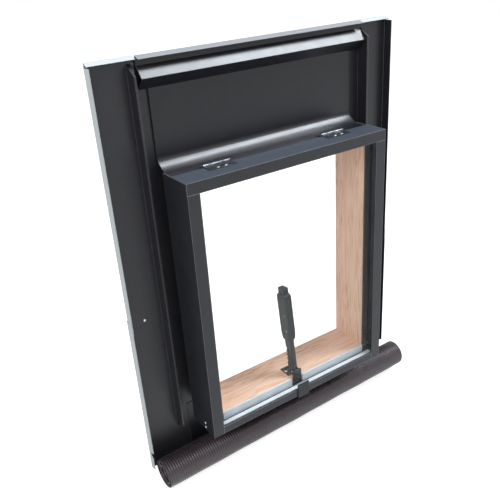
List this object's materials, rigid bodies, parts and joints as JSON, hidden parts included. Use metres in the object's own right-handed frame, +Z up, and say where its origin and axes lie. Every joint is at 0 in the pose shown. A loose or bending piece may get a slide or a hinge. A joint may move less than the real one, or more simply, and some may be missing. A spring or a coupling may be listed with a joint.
{
  "type": "roof skylight",
  "caption": "Top-hung roof skylight with a pine frame, double-glazed sheet-metal sash, folded flashing, rolled pleated apron and a notched stay bar.",
  "frame": {"origin": "middle of the back face of the frame's sill board, on the roof plane", "axes": "+X across the roof, +Y into the room, +Z up the slope"},
  "size_m": [0.7516, 0.127, 0.9644],
  "materials": {
    "pine": "matte",
    "anthracite_sheet": "satin",
    "apron_sheet": "satin",
    "zinc": "satin",
    "rubber": "matte",
    "glass": "gloss",
    "spacer": "satin",
    "stay_metal": "satin",
    "grip_plastic": "matte"
  },
  "bodies": {
    "frame": {"frame_head": "pine", "frame_sill": "pine", "frame_jamb_left": "pine", "frame_jamb_right": "pine", "frame_screws": "zinc", "frame_seal_head": "rubber", "frame_seal_sill": "spacer", "frame_seal_left": "rubber", "frame_seal_right": "rubber", "flashing_head": "anthracite_sheet", "flashing_left_upper": "anthracite_sheet", "flashing_right_upper": "anthracite_sheet", "flashing_left_lower": "anthracite_sheet", "flashing_right_lower": "anthracite_sheet", "flashing_sill": "anthracite_sheet", "flashing_rivets": "zinc", "apron_roll": "apron_sheet", "apron_strip": "anthracite_sheet", "hinge_frame_leaf_left": "zinc", "hinge_frame_leaf_right": "zinc", "hinge_pin_left": "zinc", "hinge_pin_right": "zinc", "hinge_frame_screws": "zinc", "keeper": "stay_metal", "keeper_screws": "zinc"},
    "sash": {"sash_top_cover": "anthracite_sheet", "sash_side_left": "anthracite_sheet", "sash_side_right": "anthracite_sheet", "sash_bottom_rail": "anthracite_sheet", "sash_rivets": "zinc", "glass_outer": "glass", "glass_inner": "glass", "spacer_top": "spacer", "spacer_bottom": "spacer", "spacer_left": "spacer", "spacer_right": "spacer", "glazing_seal_top": "rubber", "glazing_seal_bottom": "rubber", "glazing_seal_left": "rubber", "glazing_seal_right": "rubber", "hinge_sash_leaf_left": "zinc", "hinge_sash_leaf_right": "zinc", "hinge_sash_rivets": "zinc", "stay_clip": "stay_metal", "stay_pin": "zinc"},
    "stay": {"stay_bar": "stay_metal", "stay_grip": "grip_plastic", "stay_rivets": "zinc"}
  },
  "joints": [
    {"name": "sash_hinge", "type": "hinge", "parent": "frame", "child": "sash", "pos_m": [0, -0.062, 0.5725], "axis": [-1, 0, 0], "range_deg": [0, 80]},
    {"name": "stay_pivot", "type": "hinge", "parent": "sash", "child": "stay", "pos_m": [0, -0.09, 0.02], "axis": [-1, 0, 0], "range_deg": [-5, 48]}
  ]
}
